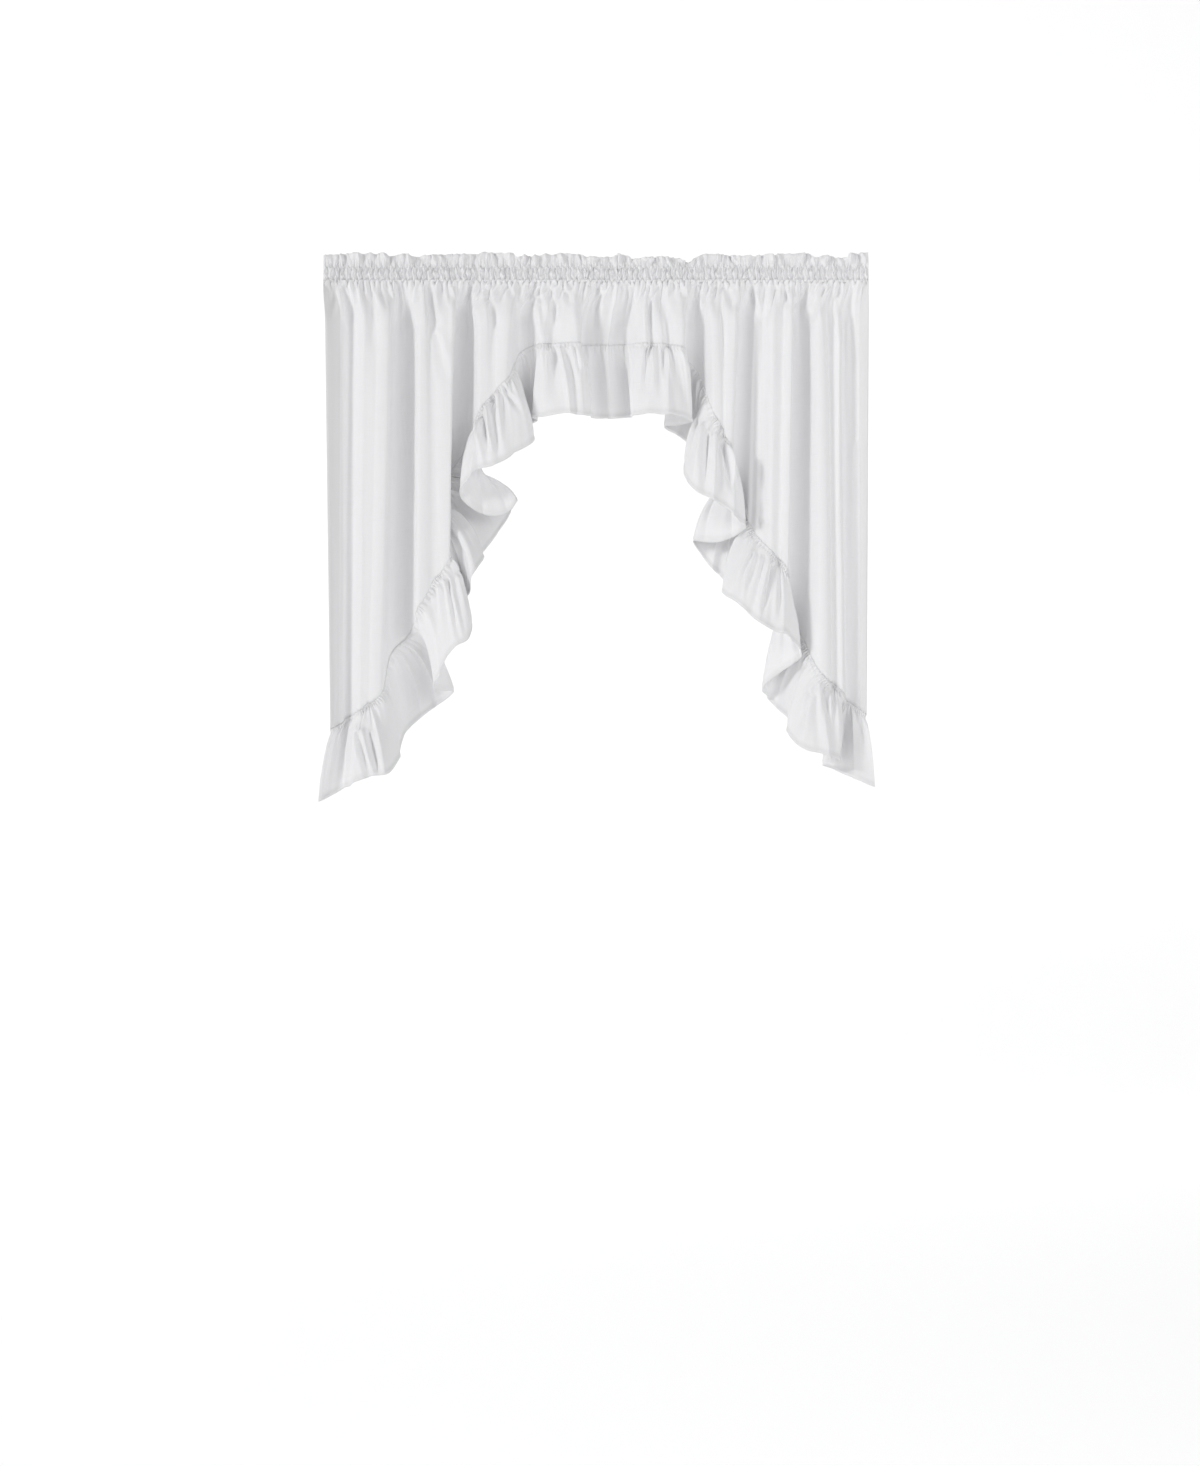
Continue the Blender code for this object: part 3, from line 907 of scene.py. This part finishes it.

# %% [markdown]
# ## The ruffles
#
# A ruffle is a straight strip gathered to the seam. Its columns start square to the seam, stand
# out from it and then fall, swinging out to the hem. Near the seam it is drawn into small
# tucks that open like cones. Longer folds sweep on to the rolled hem. Waves of uneven pitch make
# most of them. Where the ruffle is nearest the front, more folds are listed one by one, as rows of
# the same kind as the panels' creases. The sheet's rows are closest where the hem is stitched.

# %% Long folds on the ruffles' front lobes
LEFT_LOBE_FOLDS = (
    Crease(-76, 172, -70, 276, 13, 3.0),
    Crease(-56, 172, -50, 214, 5, 1.8),
    Crease(-38, 172, -26, 222, 5, 2.0),
    Crease(-165, 240, -133, 284, 5, 2.2),
    Crease(-172, 250, -170, 350, 6, -1.8),
    Crease(-181, 261, -172, 380, 9, 3.6),
    Crease(-194, 270, -182, 360, 5, -2.4),
    Crease(-203, 286, -187, 362, 5, 3.2),
    Crease(-214, 296, -196, 390, 6, -2.4),
    Crease(-262, 580, -240, 694, 5, 2.8),
    Crease(-244, 576, -218, 676, 8, -2.2),
    Crease(-278, 594, -268, 690, 8, -1.8),
    Crease(-401, 850, -381, 925, 6, 2.8),
    Crease(-412, 846, -388, 932, 5, -2.0),
    Crease(-424, 846, -398, 936, 6, 3.0),
    Crease(-452, 850, -466, 920, 6, 1.8),
)
RIGHT_LOBE_FOLDS = (
    Crease(90, 170, 84, 268, 6, 2.0),
    Crease(118, 168, 126, 232, 6, 2.6),
    Crease(104, 170, 104, 262, 7, -1.8),
    Crease(177, 300, 152, 392, 6, 2.4),
    Crease(188, 308, 170, 412, 6, -2.4),
    Crease(197, 324, 190, 424, 6, 3.0),
    Crease(211, 326, 209, 434, 6, -2.6),
    Crease(224, 338, 242, 430, 6, 3.4),
    Crease(234, 344, 258, 444, 5, -2.0),
    Crease(275, 536, 243, 610, 6, 2.2),
    Crease(291, 542, 264, 644, 7, -2.4),
    Crease(310, 556, 291, 652, 7, 3.4),
    Crease(320, 562, 314, 664, 6, -2.0),
    Crease(376, 776, 358, 846, 6, 2.0),
    Crease(394, 764, 402, 872, 7, -2.0),
    Crease(406, 772, 416, 878, 5, 2.6),
    Crease(424, 780, 432, 884, 6, -1.6),
)
LOBE_FOLD_DEPTH = 1.6
LOBE_FORWARD = 4.0
LEFT.lobe_folds = LEFT_LOBE_FOLDS
RIGHT.lobe_folds = RIGHT_LOBE_FOLDS
print("folds placed on the lobes:", len(LEFT.lobe_folds) + len(RIGHT.lobe_folds))


def lobe_height(swag, point, share):
    """The placed folds' height, on the layers of the ruffle that are nearest the front."""
    in_front = smooth((-point.y - LOBE_FORWARD) / 12)
    if in_front == 0:
        return 0.0
    height = sum(crease_height(fold, point.x, -point.z) for fold in swag.lobe_folds)
    return LOBE_FOLD_DEPTH * height * in_front * smooth(share * 9)


# %% Ruffles
RUFFLE_COLUMNS = 1350
RUFFLE_SHARES = [step / 22 for step in range(22)] + [0.962, 0.972, 1.0]
ROLLED_HEM = 5.0
SEAM_LAP = 0.6
TICK_PITCH = 5.6
TICK_HEIGHT = 1.6
TUCK_PITCH = 16.0
TUCK_HEIGHT = 2.2
FOLD_PITCH = 42.0
FOLD_HEIGHT = 4.0


def ruffle_column(seam, band, hem, steep):
    """Points down one column of a ruffle, and how far each is from the seam."""
    spread = Vector((hem[0] - band.x, hem[1] - band.y, 0.0))
    free = RUFFLE_DROP - SEAM_BAND
    reach = min(spread.length, 0.88 * free)
    spread *= reach / max(spread.length, 1e-6)
    fall = math.sqrt(free**2 - reach**2)
    bulge = 0.45 + 0.25 * steep
    points = [(seam, 0.0), (seam.lerp(band, 0.5), SEAM_BAND / 2)]
    for share in RUFFLE_SHARES:
        flare = share * (1 + bulge - bulge * share)
        down = Vector((0, 0, fall * share ** (1 + bulge / 2)))
        points.append((band + spread * flare - down, SEAM_BAND + free * share))
    return points


def seam_gathers(swag, across, down, point):
    """The ticks at the seam, and the small tucks that open below it like cones."""
    share = down / RUFFLE_DROP
    jitter = 1.2 * uneven(across / 13, 0, swag.seed + 12)
    ticks = TICK_HEIGHT * math.sin(2 * math.pi * across / TICK_PITCH + jitter)
    ticks *= smooth(down / 2.5) * (1 - smooth((down - 7) / 9)) * (1 - 0.8 * smooth(point.y / 14))
    lap = SEAM_LAP * (1 - smooth(down / 5))
    turn = 2 * math.pi * across / TUCK_PITCH + 2.0 * uneven(across / 29, share, swag.seed + 6)
    tucks = math.sin(turn) * (0.7 + 0.7 * uneven(across / 20, 0, swag.seed + 7))
    open_out = 1 - smooth((share - 0.03) / (0.34 + 0.28 * uneven(across / 17, 3, swag.seed)))
    return ticks + lap + TUCK_HEIGHT * tucks * open_out * smooth(0.15 + share * 8)


def long_folds(swag, across, share):
    """The folds that sweep from below the seam to the hem."""
    sweep = 14 * uneven(across / 120, 5, swag.seed) * share
    wander = 2.4 * uneven(across / 50, share * 0.5, swag.seed + 8)
    folds = crisp_ridge(2 * math.pi * (across + sweep) / FOLD_PITCH + wander)
    height = FOLD_HEIGHT + 3.2 * uneven(across / 45, 0, swag.seed + 9)
    return folds * height * smooth(share * 3) * (1 - 0.5 * smooth(share))


def rolled_hem(down):
    """The thicker hem, with the groove of its stitching above it."""
    past = down - RUFFLE_DROP + ROLLED_HEM
    return 0.45 * smooth(past / 1.2) - 0.5 * math.exp(-((past + 1) ** 2))


def ruffle_height(swag, across, down, point):
    """How far the ruffle's cloth stands out from its lobes, in millimetres."""
    share = down / RUFFLE_DROP
    wrinkles = 0.8 * uneven(across / 15, down / 40, swag.seed + 10) * smooth(share * 5)
    folds = long_folds(swag, across, share) + lobe_height(swag, point, share)
    return seam_gathers(swag, across, down, point) + folds + wrinkles + rolled_hem(down)


def dressed_point(swag, flat, drop):
    """A point of the panel's cloth with its gathers and creases."""
    point = swag.cloth_point(flat, drop)
    aside = swag.cloth_point(min(flat + 1.0, swag.flat_width), drop)
    aside -= swag.cloth_point(max(flat - 1.0, 0.0), drop)
    down = swag.cloth_point(flat, drop + 1.0) - point
    normal = aside.cross(down).normalized() * swag.outward
    return point - normal * panel_height(swag, flat, drop, point)


def swag_ruffle(swag):
    spots = [turn.at for turn in swag.hem]
    columns, flats = [], []
    for column in range(RUFFLE_COLUMNS + 1):
        across = swag.hem_lengths[-1] * column / RUFFLE_COLUMNS
        number = number_along(swag.hem_lengths, across) / STEPS_PER_TURN
        index = min(int(number), len(spots) - 2)
        place = mix(spots[index], spots[index + 1], number - index) * STEPS_PER_TURN
        step = min(int(place), len(swag.lengths) - 2)
        flat = mix(swag.lengths[step], swag.lengths[step + 1], place - step)
        seam = dressed_point(swag, *swag.seam_point(flat, -1.0))
        band = dressed_point(swag, *swag.seam_point(flat, SEAM_BAND))
        steep = abs(swag.seam_tilt(flat)[0])
        points = ruffle_column(seam, band, swag.hem_line(number), steep)
        columns.append([point for point, down in points])
        flats.append([(across, down) for point, down in points])
    sheet, verts, places = grid_of_cloth(list(zip(*columns)), list(zip(*flats)), -swag.outward)
    ruck(verts, places, lambda across, down, point: ruffle_height(swag, across, down, point))
    # painted shade on the layers at the seam and at the rolled hem
    mark_doubled_shade(
        sheet, verts, places,
        lambda across, down: max(0.1 * (down < 8), 0.4 * (down > RUFFLE_DROP - ROLLED_HEM - 1)),
    )
    piece = finish_cloth(f"{swag.side}_ruffle_cloth", sheet, f"{swag.side}_ruffle")


for swag in (LEFT, RIGHT):
    swag_ruffle(swag)

# %% [markdown]
# ## The headings
#
# The heading is one strip folded double: up the front of the rod pocket, up the frill, over, and
# down the back. Two rows of stitching hold the pocket, and draw the cloth in along its top and
# its foot, where its edge is a little uneven. Both walls of the frill follow one wave, or it would
# look inflated. Two separate strips would be easier, but they would part at the frill's top edge.

# %% Headings
HEADING_COLUMNS = 700
WALL_STEPS = 13
FRILL_STEPS = 10
FRILL_PITCH = 15.0
POCKET_FRONT = 4.0
FOOT_UNEVEN = 1.8
FOOT_REACH = 7.0


def frill_wave(swag, x, up):
    """How far the frill stands forward or back. up is 0 at the pocket and 1 at its crest."""
    lean = 14 * uneven(x / 38, 0, swag.seed + 12) + 4 * uneven(x / 17, up, swag.seed + 13)
    at = x + lean * up
    broad = 3.4 * math.sin(at / 7.3) + 2.2 * math.sin(at / 3.9 + 1)
    facets = crisp_ridge(2 * math.pi * at / FRILL_PITCH + 2.2 * uneven(x / 24, 0, swag.seed + 20))
    facets *= -3.2 - 1.6 * uneven(x / 19, 0, swag.seed + 21)
    curl = 1.4 * uneven(x / 8, up * 1.4, swag.seed + 14)
    return (broad + facets + curl) * up**0.7


def pocket_wall(lean_low, lean_high, reach):
    """Points up one wall of the pocket, from its foot: (depth, height)."""
    points = []
    for step in range(WALL_STEPS + 1):
        share = step / WALL_STEPS
        bulge = reach * math.sin(math.pi * share) ** 0.8
        points.append((mix(lean_low, lean_high, share) + bulge, -PANEL_TOP + POCKET_HEIGHT * share))
    return points


def heading_section(swag, flat):
    """Points up the front of the heading, over the frill and down its back."""
    x = swag.rod_x(flat)
    number = number_along([crest.x for crest in swag.crests], x)
    top = -through([crest.below for crest in swag.crests], number)
    top += 2.0 * uneven(x / 12, 0, swag.seed + 15) + 0.5 * uneven(x / 5, 0, swag.seed + 15)
    front = pocket_wall(-FOOT_FORWARD, -2.4, -POCKET_FRONT)
    sag = FOOT_UNEVEN * uneven(x / 6, 3, swag.seed)
    front = [(y, z + sag * max(1 - (z + PANEL_TOP) / FOOT_REACH, 0)) for y, z in front]
    back = pocket_wall(1.0 - FOOT_FORWARD, -1.4, POCKET_HALF_DEPTH)
    up_front, down_back = [], []
    for step in range(1, FRILL_STEPS + 1):
        share = step / FRILL_STEPS
        wave = frill_wave(swag, x, share)
        z = mix(-FRILL_HEIGHT, top, share)
        up_front.append((mix(-2.4, -0.7, share) + wave, z))
        down_back.append((mix(-1.4, 0.7, share) + wave, z))
    crest = [(frill_wave(swag, x, 1.0), top + 0.6)]
    section = front + up_front + crest + down_back[::-1] + back[::-1]
    return [Vector((x, y, z)) for y, z in section]


def heading_height(swag, flat, point):
    """How far the heading's pleats stand out, in millimetres."""
    drop = -point.z
    up = (FRILL_HEIGHT - drop) / FRILL_HEIGHT
    pleats = GATHER_DEPTH * shirring(swag, flat, drop) * (1 - 0.8 * smooth(up * 1.3))
    crumple = 0.4 * uneven(flat / 8, drop / 8, swag.seed + 11)
    stitched = math.exp(-(((drop - FRILL_HEIGHT) / 1.4) ** 2))
    stitched += 0.5 * math.exp(-(((drop - PANEL_TOP + 2) / 1.4) ** 2))
    return pleats + crumple - (0.6 + 0.5 * uneven(flat / 9, 0, swag.seed + 22)) * stitched


def swag_heading(swag):
    columns, flats = [], []
    for column in range(HEADING_COLUMNS + 1):
        flat = swag.flat_width * column / HEADING_COLUMNS
        section = heading_section(swag, flat)
        columns.append(section)
        walked = [0.0]
        for before, here in zip(section, section[1:]):
            walked.append(walked[-1] + (here - before).length)
        flats.append([(flat, along) for along in walked])
    sheet, verts, places = grid_of_cloth(list(zip(*columns)), list(zip(*flats)), -swag.outward)
    ruck(verts, places, lambda flat, along, point: heading_height(swag, flat, point))
    piece = finish_cloth(f"{swag.side}_heading_cloth", sheet, f"{swag.side}_heading")


for swag in (LEFT, RIGHT):
    swag_heading(swag)
